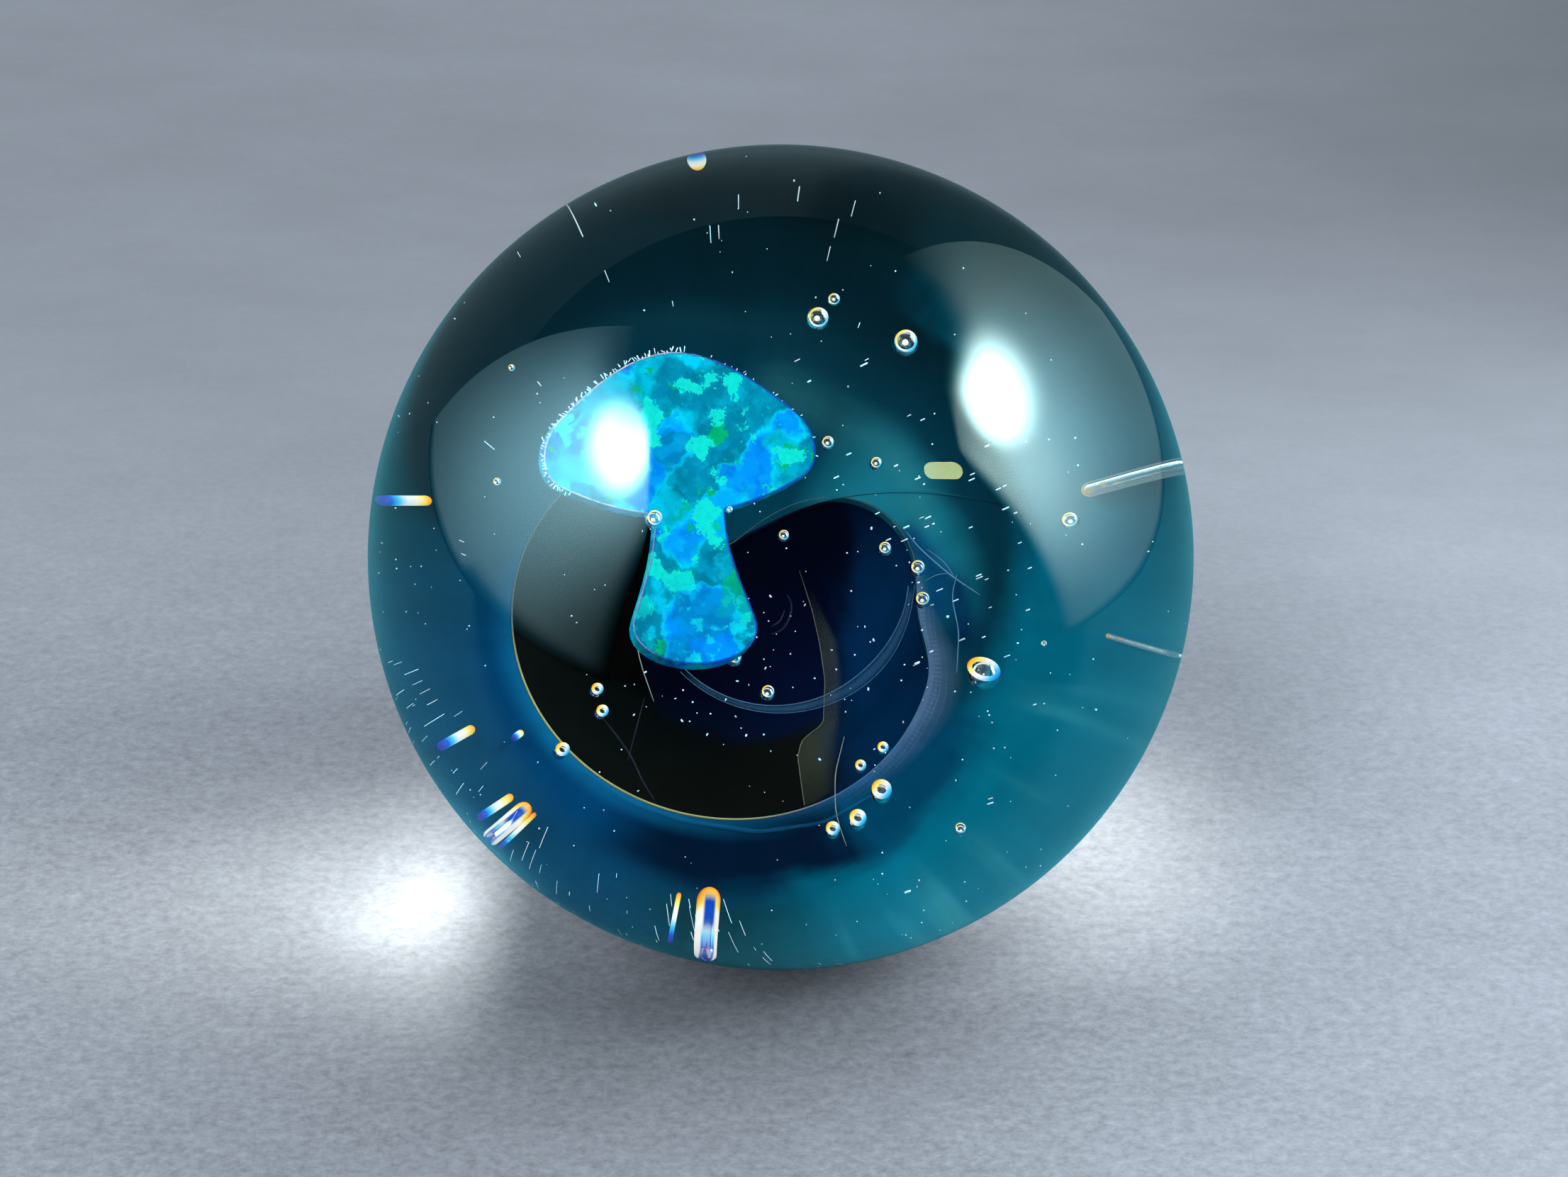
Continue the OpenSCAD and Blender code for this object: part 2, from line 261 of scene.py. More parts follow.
def ico(subdivisions):
    """A ball of radius 1."""
    work = bmesh.new()
    bmesh.ops.create_icosphere(work, subdivisions=subdivisions, radius=1.0)
    return taken(work)


def tube(path, radii, sides=8):
    """A closed round tube along a path, with a radius at each point."""
    path = np.asarray(path, float)
    radii = np.broadcast_to(np.asarray(radii, float), (len(path),))[:, None, None]
    along = np.gradient(path, axis=0)
    along /= np.linalg.norm(along, axis=1)[:, None]
    up = np.cross(along, [0.31, 0.12, 0.94])
    up /= np.linalg.norm(up, axis=1)[:, None]
    side = np.cross(along, up)
    turn = (np.arange(sides) * 2 * math.pi / sides)[:, None]
    spokes = np.cos(turn) * up[:, None] + np.sin(turn) * side[:, None]
    return (path[:, None] + radii * spokes).reshape(-1, 3), closed_faces(len(path), sides)


def strip(centres, across, normals):
    """A closed thin veil, seven points wide on each face, so that its edges can fade."""
    columns = np.linspace(-1, 1, 7)
    shares = np.concatenate([columns, columns[::-1]])
    half = np.repeat([VEIL_T / 2, -VEIL_T / 2], len(columns))
    rings = centres[:, None] + shares[:, None] * across[:, None] + half[:, None] * normals[:, None]
    rows, ring = rings.shape[:2]
    along = np.repeat(np.linspace(0, 1, rows), ring)
    fields = {"across": np.tile(shares, rows), "along": along}
    return rings.reshape(-1, 3), closed_faces(rows, ring), fields


# ---- Shader making ----
def colour(r, g, b):
    """A colour given as it shows on a screen, from 0 to 255, for a shader."""
    line = [v / 255 for v in (r, g, b)]
    line = [v / 12.92 if v <= 0.04045 else ((v + 0.055) / 1.055) ** 2.4 for v in line]
    return (*line, 1.0)


def under_glass(r, g, b):
    """A colour as it shows through the clear glass, written brighter by what the glass takes."""
    return (*(1.25 * v for v in colour(r, g, b)[:3]), 1.0)


def sum_node(operation):
    """A method that makes one step of a sum."""
    return lambda self, other: self.shader.math(operation, self, other)


class Value:
    """A shader socket that takes part in plain sums."""

    __add__ = __radd__ = sum_node("ADD")
    __sub__ = sum_node("SUBTRACT")
    __mul__ = __rmul__ = sum_node("MULTIPLY")
    __truediv__ = sum_node("DIVIDE")
    __pow__ = sum_node("POWER")
    low = sum_node("MINIMUM")
    high = sum_node("MAXIMUM")

    def __init__(self, shader, socket):
        self.shader, self.socket = shader, socket

    def __rsub__(self, other):
        return self.shader.math("SUBTRACT", other, self)


class Shader:
    """A material or the world's light under construction. What isn't part of the marble isn't
    leaned with it."""

    def __init__(self, name, leaned=True, world=False):
        self.leaned = leaned
        self.made = (bpy.data.worlds if world else bpy.data.materials).new(name)
        self.made.use_nodes = True
        self.tree = self.made.node_tree
        self.tree.nodes.clear()
        self.out = self.tree.nodes.new(f"ShaderNodeOutput{'World' if world else 'Material'}")

    def node(self, kind, settings=None, inputs=None, output=0):
        made = self.tree.nodes.new(f"ShaderNode{kind}")
        for key, value in (settings or {}).items():
            setattr(made, key, value)
        for key, value in (inputs or {}).items():
            self.feed(made.inputs[key], value)
        return Value(self, made.outputs[output])

    def feed(self, socket, value):
        """Gives a socket its value. A colour of three numbers is meant as under_glass has it."""
        if isinstance(value, Value):
            self.tree.links.new(value.socket, socket)
        elif socket.type == "RGBA" and len(value) == 3:
            socket.default_value = under_glass(*value)
        else:
            socket.default_value = value[:3] if socket.type == "VECTOR" else value

    def math(self, operation, *values):
        return self.node("Math", {"operation": operation}, dict(enumerate(values)))

    def field(self, name):
        return self.node("Attribute", {"attribute_name": name}, output="Fac")

    def ray(self, kind):
        return self.node("LightPath", output=kind)

    def unscattered(self):
        """1 on a ray's way that no matt surface has scattered."""
        return self.math("LESS_THAN", self.ray("Diffuse Depth"), 0.5)

    def place(self):
        """The point on the piece in millimetres, in the window's frame where it is leaned."""
        at = self.node("TexCoord", output="Object")
        if self.leaned:
            settings = {"rotation_type": "EULER_XYZ", "invert": True}
            inputs = {"Vector": at, "Rotation": tuple(LEAN)}
            at = self.node("VectorRotate", settings, inputs)
        return self.times(at, 1 / MM)

    def vector(self, operation, *values, output=0):
        inputs = dict(enumerate(values))
        return self.node("VectorMath", {"operation": operation}, inputs, output)

    def times(self, a, share):
        """A vector or a colour, made larger or brighter by a value."""
        inputs = {0: a, "Scale": share}
        return self.node("VectorMath", {"operation": "SCALE"}, inputs)

    def parts(self, vector):
        made = self.node("SeparateXYZ", inputs={0: vector})
        return [Value(self, s) for s in made.socket.node.outputs]

    def joined(self, x, y, z):
        return self.node("CombineXYZ", inputs={0: x, 1: y, 2: z})

    def noise(self, at, scale, detail, roughness, output="Fac"):
        inputs = {"Vector": at, "Scale": scale, "Detail": detail, "Roughness": roughness}
        return self.node("TexNoise", inputs=inputs, output=output)

    def step(self, value, low, high):
        """0 below low and 1 above high, with a smooth rise between. low may be above high."""
        if low > high:
            return 1 - self.step(value, high, low)
        settings = {"interpolation_type": "SMOOTHSTEP"}
        inputs = {"Value": value, "From Min": low, "From Max": high}
        return self.node("MapRange", settings, inputs)

    def bump_at(self, value, middle, width):
        """1 where the value is at the middle, fading to 0 at the width on both sides."""
        return self.step(self.math("ABSOLUTE", value - middle), width, 0.0)

    def mix(self, a, b, share):
        settings = {"data_type": "RGBA", "clamp_factor": True}
        return self.node("Mix", settings, {"Factor": share, 6: a, 7: b}, 2)

    def layered(self, shade, *layers):
        """Colours laid over a shade, each with the mask where it shows."""
        for tint, mask in layers:
            shade = self.mix(shade, tint, mask)
        return shade

    def blend(self, share, low, high):
        """One shader or the other, by a share."""
        return self.node("MixShader", inputs={0: share, 1: low, 2: high})

    def ramp(self, value, stops):
        """A colour read off a row of stops, each a position and a colour."""
        made = self.tree.nodes.new("ShaderNodeValToRGB")
        bar = made.color_ramp
        bar.interpolation = "LINEAR"
        while len(bar.elements) < len(stops):
            bar.elements.new(0.5)
        for element, (position, shade) in zip(bar.elements, stops):
            element.position = position
            element.color = shade
        self.feed(made.inputs[0], value)
        return Value(self, made.outputs[0])

    def finish(self, surface):
        self.feed(self.out.inputs["Surface"], surface)
        return self.made

    def matt(self, shade, roughness=0.4, alpha=1.0, glow=None):
        """The finished material, without gloss of its own: the ball's surface has the gloss."""
        inputs = {"Base Color": shade, "Roughness": roughness, "Alpha": alpha}
        inputs["Specular IOR Level"] = 0.0
        if glow is not None:
            inputs.update({"Emission Color": glow, "Emission Strength": 1.0})
        return self.finish(self.node("BsdfPrincipled", inputs=inputs))


def clear_glass():
    """Clear glass that refracts, and lets the lamps through to what is sealed in it."""
    s = Shader("clear_glass")
    sockets = {"Base Color": (0.985, 0.995, 1, 1), "Roughness": 0, "IOR": 1.47}
    sockets["Transmission Weight"] = 1
    glass = s.node("BsdfPrincipled", inputs=sockets)
    clear = s.node("BsdfTransparent")
    return s.finish(s.blend(s.ray("Is Shadow Ray"), glass, clear))


def backing_glass(name):
    """The coloured backing. Its colours are the same function of place on every piece of it, so
    that one melts into the next: green at the back, blue on the left, teal on the right."""
    s = Shader(name)
    at = s.place()
    _, _, z = s.parts(at)
    around, radius, edge = (s.field(key) for key in ("around", "radius", "edge"))
    cloud = s.noise(s.times(at, 0.17), 1, 3, 0.55)
    degree = math.pi / 180
    east, north = (s.math(way, around * degree) for way in ("COSINE", "SINE"))

    def drawn(across, out, rise, detail, roughness):
        """Noise that is drawn out along the radius and closes on itself round the axis."""
        place = s.joined(east * across, north * across, radius * out + z * rise)
        return s.noise(place, 1, detail, roughness)

    def facing(angle, low, high):
        """1 on the bowl's side at an angle, and 0 on the far side."""
        return s.step(s.math("COSINE", (around - angle) * degree), low, high)

    streak = drawn(9.5, 0.22, 0.22, 3, 0.55)
    wisp = drawn(2.2, 0.9, 0.5, 4, 0.6)
    turn = around + (cloud - 0.5) * 30 + (streak - 0.5) * 14
    reach = radius + (cloud - 0.5) * 1.4 + (wisp - 0.5) * 0.8

    teal = (1, 107, 135)
    green = s.mix((4, 60, 80), (4, 36, 46), s.step(reach, 7, 11))
    blue = s.mix((2, 63, 108), (1, 57, 94), s.step(reach, 6.8, 8.6))
    back_turn = (reach * 22 - 198).low(42)
    front_turn = (349 - reach * 9).high(248)

    navy = s.step(turn, 220, 250) * s.step(turn, 320, 286) * s.step(reach, 8.8, 7.8)
    bay = s.step(turn, 282, 300) * s.step(turn, 342, 322) * s.step(reach, 9.2, 7.9)
    cheek = facing(22, 0.84, 1) * s.step(reach, 8.5, 7.2)
    # Painted shade: foot, flank and the outer band of back darken the backing towards the ball's
    # edge, at the bottom, the upper right and the top.
    foot = s.bump_at(around, 262, 36) * s.step(reach, 7.8, 9.2)
    flank = facing(32, 0.58, 0.97) * s.step(reach, 11, 13.6)
    back = s.bump_at(around, 84, 50)
    front = facing(316, 0.72, 0.97)
    rays = s.step(drawn(8.5, 0.16, 0, 1.5, 0.5), 0.5, 0.74) * s.step(reach, 8.6, 10.6)
    glow = s.step(edge, 0.85, 0) * s.bump_at(around, 215, 85)
    shade = s.layered(
        teal,
        (green, s.step(turn - back_turn, -14, 14)),
        (blue, s.step(turn, 150, 184)),
        (teal, s.step(turn - front_turn, -12, 12)),
        (green, s.step(turn - back_turn, 346, 374)),
        ((2, 20, 45), navy),
        ((1, 69, 102), bay),
        ((26, 130, 150), cheek * 0.85),
        ((54, 132, 136), s.field("arm") * (0.08 + 0.45 * wisp)),
        # painted shade towards the ball's edge: bottom, upper right and top
        ((1, 48, 60), foot * 0.9),
        ((10, 36, 40), flank * 0.9),
        ((1, 17, 20), back * s.bump_at(reach, 12.1, 0.9) * 0.8),
        ((14, 60, 74), back * s.bump_at(reach, 9.2, 0.8) * 0.6),
        ((2, 124, 150), front * s.step(reach, 7.9, 9.2) * 0.5),
        ((52, 152, 166), rays * front * 0.7),
        ((4, 60, 108), s.field("web") * 0.85),
        ((3, 38, 84), s.field("wedge") * 0.8),
        ((12, 112, 160), glow * 0.85),
    )
    return s.matt(s.times(shade, 0.62 + 0.42 * streak + 0.34 * wisp), 0.45)


def dark_glass():
    """Near-black glass of the well: brown-black on the left, navy inside the ribbon's curl and
    blue on the right."""
    s = Shader("dark_glass")
    at = s.place()
    x, y, _ = s.parts(at)
    haze = s.noise(at, 0.55, 4, 0.6)
    flat = s.joined(x + (haze - 0.5) * 0.8, y, 0)
    curl = s.step(s.vector("DISTANCE", flat, (*INNER_AT, 0), output="Value"), 4.1, 3.4)
    right = s.step(x + y * -0.25 + (haze - 0.5) * 1.4, 2.9, 4.4)
    stripe = s.bump_at(x - y * 0.16 + (haze - 0.5) * 0.5, 4.15, 0.55) * s.step(y, -2.6, -0.6)
    layers = ((4, 17, 50), curl), ((1, 42, 80), right), ((3, 48, 92), stripe * 0.85)
    shade = s.layered((13, 14, 11), *layers)
    return s.matt(s.times(shade, 0.55 + 0.9 * haze), 0.5)


def opal():
    """Synthetic opal: soft patches of azure, blue and teal, and ragged flakes of aqua and
    green on top."""
    s = Shader("opal")
    at = s.place()
    flat = s.vector("MULTIPLY", at, (1, 1, 0.3))
    _, y, _ = s.parts(at)

    def cells(at, scale, feature="F1", smoothness=0):
        sockets = {"Vector": at, "Scale": scale, "Randomness": 1}
        if smoothness:
            sockets["Smoothness"] = smoothness
        settings = {"voronoi_dimensions": "3D", "feature": feature}
        return s.parts(s.node("TexVoronoi", settings, sockets, "Color"))

    def shaken(scale, reach, detail=3):
        wobble = s.noise(flat, scale, detail, 0.65, output="Color")
        centred = s.vector("SUBTRACT", wobble, (0.5, 0.5, 0.5))
        return s.vector("ADD", flat, s.times(centred, reach))

    tone, kind, _ = cells(shaken(1.2, 0.9), 0.66, "SMOOTH_F1", 0.4)
    patches = [
        (0.24, under_glass(1, 132, 168)),
        (0.36, under_glass(1, 168, 198)),
        (0.48, under_glass(2, 194, 232)),
        (0.6, under_glass(2, 176, 246)),
        (0.74, under_glass(2, 140, 244)),
    ]
    shade = s.ramp(tone, patches)
    shade = s.mix(shade, (1, 132, 160), s.step(kind, 0.66, 0.8) * 0.6)
    mottle, _, _ = cells(shaken(3, 0.5), 1.9, "SMOOTH_F1", 0.45)
    shade = s.times(shade, 0.86 + 0.56 * mottle)
    foot = s.step(y, 0.4, -2.6)
    wash = s.noise(shaken(1.5, 1.2), 1.1, 3, 0.6)
    shade = s.mix(shade, (6, 208, 244), s.step(wash, 0.56, 0.68) * (0.3 + 0.5 * foot))
    fleck, _, _ = cells(shaken(4.5, 0.55, 5), 3)
    speckle = s.step(fleck, 0.80, 0.82) * (0.12 + 0.5 * foot)
    shade = s.mix(shade, (16, 226, 240), speckle)

    ragged = shaken(5, 0.75, 6)
    flake, hue, _ = cells(ragged, 1.25)
    drift = s.noise(flat, 0.35, 2, 0.5)
    flakes = s.step(flake + (drift - 0.5) * 0.4, 0.79, 0.8) * (1 - 0.75 * foot)
    chip, _, _ = cells(ragged, 3.4)
    chips = s.step(chip, 0.86, 0.87) * s.step(drift, 0.46, 0.54)
    aqua = s.mix((18, 236, 222), (4, 186, 116), s.step(hue, 0.62, 0.66))
    grain = s.noise(at, 6, 2, 0.6)
    shade = s.mix(shade, s.times(aqua, 0.74 + 0.52 * grain), flakes.high(chips) * 0.95)
    return s.matt(shade, 0.35)


def pale_veil():
    """The ribbon in the well: a veil of pale glass, thickest along its middle line."""
    s = Shader("pale_veil")
    across = s.math("ABSOLUTE", s.field("across"))
    along = s.field("along")
    length = s.step(along, 0, 0.04) * s.step(along, 1, 0.9)
    grain = s.noise(s.place(), 0.7, 2, 0.5)
    alpha = length * s.step(across, 1, 0.2) * (0.5 + grain) * 0.16
    return s.matt((70, 130, 175), alpha=alpha)


def lavender_veil():
    """The ribbon beside the well: dense at the well's edge, thinning outwards."""
    s = Shader("lavender_veil")
    out = (s.field("across") + 1) * 0.5
    along = s.field("along")
    curl = s.noise(s.joined(along * 14, out * 1.2, 0), 1, 2, 0.5)
    alpha = (1 - out).high(0) ** 1.3 * (0.35 + curl) * 0.62
    alpha = alpha * s.step(along, 0, 0.16) * s.step(along, 0.98, 0.42)
    tint = s.mix((112, 150, 192), (46, 116, 176), s.step(along, 0.3, 0.7))
    return s.matt(tint, alpha=alpha)


def gold_veil():
    """The fumed ribbon across the funnel: greenish gold, dense along one side."""
    s = Shader("gold_veil")
    along, side = s.field("along"), s.field("across")
    grain = s.noise(s.vector("MULTIPLY", s.place(), (0.9, 0.22, 0.5)), 1, 2, 0.5)
    alpha = (0.1 + 0.5 * grain) * s.step(along, 0.05, 0.45) * s.step(side, 1, 0.1) * 0.42
    return s.matt((104, 116, 98), alpha=alpha * (1 - 0.55 * s.step(along, 0.75, 1)))


def lip_highlight_glass():
    """A painted highlight along the well's thin edge: dim grey at the back left, straw at the
    front left, pale blue on the right."""
    s = Shader("lip_highlight_glass")
    x, y, _ = s.parts(s.place())
    shade = s.mix((196, 200, 140), (104, 150, 190), s.step(x, -1, 3.5))
    # The painted highlight is greyer and fainter at the back.
    back = s.step(y, -0.5, 2.5)
    shade = s.mix(shade, (92, 120, 128), back)
    grain = s.noise(s.place(), 2.2, 4, 0.6)
    return s.matt(shade, alpha=(0.35 + 0.75 * grain) * (1 - 0.45 * back))


def wisp_glass(name, tint, alpha):
    """A fine drawn line of pale glass."""
    s = Shader(name)
    grain = s.noise(s.place(), 2.5, 3, 0.6)
    shade = s.times(under_glass(*tint), 0.75 + 0.5 * grain)
    return s.matt(shade, alpha=(grain + 0.5) * alpha)


def seed_glass():
    """Seeds: tiny bubbles that glow white with a painted glint."""
    s = Shader("seed_glass")
    grain = s.noise(s.place(), 0.8, 2, 0.5)
    shade = s.mix((200, 214, 220), (150, 205, 225), s.step(grain, 0.4, 0.6))
    return s.matt(shade, glow=s.times(shade, 0.25 + s.step(grain, 0.35, 0.6) * 0.75))


def opal_rim_glass():
    """A painted highlight on the opal's edge, where it catches the light: white at the left,
    blue-violet at the right."""
    s = Shader("opal_rim")
    x, y, _ = s.parts(s.place())
    grain = s.noise(s.place(), 2.6, 4, 0.7)
    side = s.step(x - y * 0.35, -7.2, -3.2)
    shade = s.mix((196, 224, 240), (36, 100, 236), side)
    return s.matt(shade, alpha=s.step(grain, 0.30, 0.62) * (0.9 - 0.4 * side))


def prism_glass():
    """Painted light split in a drawn-out bubble, which glows: red and yellow at its inner end,
    then white, cyan and violet towards its outer end. A thick one is bright at its sides with a
    blue middle, and a pale one has colour only at its inner tip."""
    s = Shader("prism_glass")
    along, side, pale, thick = (s.field(key) for key in ("along", "side", "pale", "thick"))
    grain = s.noise(s.place(), 1.3, 2, 0.5)
    across = side * side
    rainbow = [
        (0, colour(206, 70, 20)),
        (0.07, colour(255, 176, 40)),
        (0.2, colour(255, 240, 110)),
        (0.36, colour(255, 255, 244)),
        (0.52, colour(232, 252, 255)),
        (0.68, colour(70, 208, 255)),
        (0.84, colour(20, 92, 226)),
        (1, colour(64, 44, 170)),
    ]
    split = s.ramp(along + (grain - 0.5) * 0.1 + across * thick * -0.1, rainbow)
    middle = s.step(across, 0.34, 0.12) * thick
    inside = s.step(along, 0.1, 0.24) * s.step(along, 0.66, 0.5)
    split = s.mix(split, colour(8, 70, 190), middle * inside)
    sides = s.step(across, 0.25, 0.5) * s.step(along, 0.24, 0.34) * thick
    split = s.mix(split, colour(255, 255, 248), sides)
    tip = s.step(along, 0.12, 0.03).high(s.bump_at(along, 0.3, 0.07) * s.step(across, 0.3, 0.1))
    washed = s.mix(colour(176, 208, 216), colour(255, 216, 112), tip)
    alpha = 0.96 - 0.5 * middle * s.step(along, 0.4, 0.6)
    faint = 0.17 + 0.28 * s.step(across, 0.35, 0.8) + 0.45 * tip
    alpha = alpha + (faint - alpha) * pale
    shade = s.mix(split, washed, pale)
    # The painted highlights glow.
    glow = s.times(shade, (0.82 - 0.5 * pale) * (0.75 + 0.5 * grain))
    return s.matt(s.times(shade, 0.35), 0.3, alpha, glow)


# ---- Coloured backing ----
def edge_start(turn):
    """Radius at which a colour line meets the well's edge."""
    r = np.full_like(turn, WELL_R)
    for _ in range(60):
        r = 0.5 * r + 0.5 * well_edge(spiral(turn, r))
    return r


def rings_at(turns, radius):
    """Places on rings about the well and the axis, with one row for each colour line."""
    return centre_at(radius) + polar(radius, spiral(turns[:, None], radius))


def back_z(r):
    """Height of the backing's round back."""
    return -np.sqrt(np.maximum(CASED_R**2 - r**2, 0))


def laid_on_back(flat):
    """Points on the window's plane, laid on the round back of the backing."""
    return raised(flat, back_z(np.linalg.norm(flat, axis=-1)))


CORE_TOP_R = WELL_R + CORE_WALL
CORE_LOW_R = CORE_TOP_R * 0.7


def core_r(z):
    """Radius of the core's cone at a height."""
    low = -CASED_R - 1
    return CORE_LOW_R + (CORE_TOP_R - CORE_LOW_R) * (z - low) / (LIP_Z - low)


def core_back():
    """Radius and height where the core's cone meets the back of the backing."""
    z = -20.0
    for _ in range(40):
        z = float(back_z(core_r(z)))
    return core_r(z), z


CORE_BACK_R, CORE_BACK_Z = core_back()


def sector(name, turn_from, turn_to, node):
    """One colour of the backing, as rings that run over the bowl, down the round back, up the
    core's side and out under the lip."""
    turns = np.arange(turn_from, turn_to + 1e-6, (turn_to - turn_from) / 140)
    start = edge_start(turns)[:, None]
    shares = np.concatenate([[0, 0.004, 0.01, 0.02, 0.03], np.linspace(0.045, 1, 62)])
    front_r = start + (RIM_R - start) * shares
    back_r = CORE_BACK_R + (RIM_R - CORE_BACK_R) * np.linspace(1, 0, 50)[1:] + 0 * start
    side_z = np.linspace(CORE_BACK_Z, LIP_Z, 14)[1:]
    side_r = core_r(side_z) + 0 * start
    under_r = CORE_TOP_R + (start - CORE_TOP_R) * np.linspace(0, 1, 4)[1:]
    front = laid_on_bowl(rings_at(turns, front_r))
    front[:, 0, 2] -= 0.05
    back = laid_on_back(rings_at(turns, back_r))
    side = raised(rings_at(turns, side_r), side_z)
    under = raised(rings_at(turns, under_r), LIP_Z)
    rings = np.concatenate([front, back, side, under], axis=1)
    radius = np.concatenate([front_r, back_r, side_r, under_r], axis=1)
    edge = radius - start
    edge[:, front_r.shape[1] :] = RIM_R
    x, y = rings[..., 0], rings[..., 1]
    fields = {
        "around": spiral(turns[:, None], radius),
        "radius": radius,
        "edge": edge,
        "arm": stroke(x, y, VEIL_ARM, (0.7, 0.35)),
        "web": stroke(x, y, BLUE_WEB, (0.35, 0.6)),
        "wedge": stroke(x, y, DARK_WEDGE, (0.3, 0.25)),
    }
    points, faces = rings.reshape(-1, 3), closed_faces(*radius.shape)
    add_piece(name, points, faces, backing_glass(name), name, (node,), 35, fields)


sector("green_glass", GREEN_FROM, BLUE_FROM, "green_swirl")
sector("blue_glass", BLUE_FROM, TEAL_FROM, "blue_swirl")
sector("teal_glass", TEAL_FROM, GREEN_FROM + 360, "teal_swirl")


def dark_core():
    """The well's funnel, and the dark cone under it that reaches the back."""
    angles = np.arange(0, 360, 1.5)
    edge = well_edge(angles)
    r = edge[:, None] * np.linspace(0, 1, 40)[1:]
    floor = raised(WELL_AT + polar(r, angles[:, None]), funnel_z(r))
    foot = funnel_z(edge)
    flat = WELL_AT + polar(edge, angles)
    rings = [raised(flat, foot + (LIP_Z - foot) * k) for k in (0.25, 0.5, 0.75, 1.0)]
    for z in np.linspace(LIP_Z, CORE_BACK_Z, 10):
        rings.append(raised(WELL_AT + polar(core_r(z), angles), z))
    for k in np.linspace(1, 0, 12)[1:-1]:
        rings.append(laid_on_back(WELL_AT + polar(CORE_BACK_R * k, angles)))
    rings = np.concatenate([floor, np.stack(rings, 1)], axis=1)
    rows, columns = rings.shape[:2]
    faces = grid_faces(rows, columns, wrap_rows=True)
    tip = rows * columns
    for i in range(rows):
        here, there = i * columns, (i + 1) % rows * columns
        faces.append((tip, here, there))
        faces.append((tip + 1, there + columns - 1, here + columns - 1))
    ends = [raised(WELL_AT, TIP_Z), laid_on_back(WELL_AT)]
    points = np.concatenate([rings.reshape(-1, 3), ends])
    add_piece("dark_core_glass", points, faces, dark_glass(), "dark_glass", ("dark_core",), 40)


dark_core()

# ---- Clear glass ball, with its bubbles ----
def window_mesh(node):
    """A node's mesh with its double points joined, turned back to the window's frame."""
    work = bmesh.new()
    work.from_mesh(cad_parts[node].data)
    bmesh.ops.remove_doubles(work, verts=work.verts[:], dist=1e-6)
    bmesh.ops.transform(work, matrix=POSE.inverted(), verts=work.verts[:])
    return work


def loose_shells(node):
    """The separate shells of a node's mesh, as arrays of points in millimetres."""
    work = window_mesh(node)
    seen, shells = set(), []
    for first in work.verts:
        if first.index in seen:
            continue
        seen.add(first.index)
        stack, found = [first], []
        while stack:
            v = stack.pop()
            found.append(v.co[:])
            for other in (e.other_vert(v) for e in v.link_edges):
                if other.index not in seen:
                    seen.add(other.index)
                    stack.append(other)
        shells.append(np.array(found) / MM)
    work.free()
    return shells


def hollow(shell):
    """Middle, outward axis, half length and radius of a sealed bubble."""
    middle = (shell.max(0) + shell.min(0)) / 2
    _, _, axes = np.linalg.svd(shell - middle, full_matrices=False)
    half, *radii = np.ptp((shell - middle) @ axes.T, axis=0) / 2
    radius = float(np.mean(radii))
    if half < 1.15 * radius:
        axis = np.array([*middle[:2], 0.0]) / np.linalg.norm(middle[:2])
        return middle, axis, radius, radius
    axis = axes[0] * np.sign(axes[0][:2] @ middle[:2])
    return middle, axis, half, radius


def capsule(ball, axis, reach, radius):
    """A ball drawn out by its reach both ways along an axis, with round ends."""
    return ball * radius + np.outer(np.sign(ball @ axis) * reach, axis)


HOLLOWS = [hollow(p) for p in loose_shells("clear_glass") if np.ptp(p, axis=0).max() < BUBBLE_MOST]


def glass_ball():
    """The ball itself, with the bubbles sealed in it as hollows."""
    pile = Pile()
    points, faces = ico(7)
    pile.add(points * MARBLE_R, faces)
    ball, ball_faces = ico(4)
    inward = [f[::-1] for f in ball_faces]
    for middle, axis, half, radius in HOLLOWS:
        pile.add(middle + capsule(ball, axis, half - radius, radius), inward)
    pile.piece("glass_ball", clear_glass(), "clear_glass", replaces=("clear_glass",))


glass_ball()


def prism_bubbles():
    """Painted highlights that glow over the bubbles: a ring and a glint over a round one near the
    well, and painted split light all over one that is drawn out."""
    pile = Pile()
    ball, ball_faces = ico(4)
    glint, glint_faces = ico(2)
    fields = {key: [] for key in ("along", "side", "pale", "thick")}

    def put(points, faces, *values):
        pile.add(points, faces)
        for key, value in zip(fields, values):
            fields[key].append(np.broadcast_to(value, len(points)))

    for middle, axis, half, radius in HOLLOWS:
        out = np.linalg.norm(middle[:2])
        angle = math.degrees(math.atan2(middle[1], middle[0]))
        if half == radius and out < RINGS_TO:
            lit = 5.5 < out < 8.3 and angle < -15
            big = lit and radius > 0.45
            long, short = ((0.84, -0.42), (0.28, 0.56)) if big else ((0.74, 0.0), (0.0, 0.74))
            turn = np.radians(np.arange(0, 361, 15))[:, None]
            ring = np.cos(turn) * [*long, 0.0] + np.sin(turn) * [*short, 0.0] + [0, 0, 1.2]
            wide = (0.17 if big else 0.27) if lit else 0.09
            points, faces = tube(middle + ring * radius, radius * wide)
            way = (points - middle) / radius
            put(points, faces, 0.42 + 0.26 * (way[:, 0] - way[:, 1]), 0, 0, 0)
            points = middle + glint * radius * (0.1 if lit else 0.36)
            put(points, glint_faces, 0.38 + 0.14 * glint[:, 1], 0, 0, 0)
            continue
        long, wide = half * 1.02, radius * 1.06
        shape = capsule(ball, axis, long - wide, wide)
        across = np.cross(axis, [0, 0, 1.0])
        along = 0.5 + 0.5 * (shape @ axis) / long
        side = shape @ across / (np.linalg.norm(across) * wide)
        thick = radius > 0.2 and half > radius
        put(middle + shape, ball_faces, along, side, float(-20 < angle < 25), float(thick))
    fields = {key: np.concatenate(values) for key, values in fields.items()}
    pile.piece("prism_bubbles", prism_glass(), "clear_glass", fields=fields)


prism_bubbles()


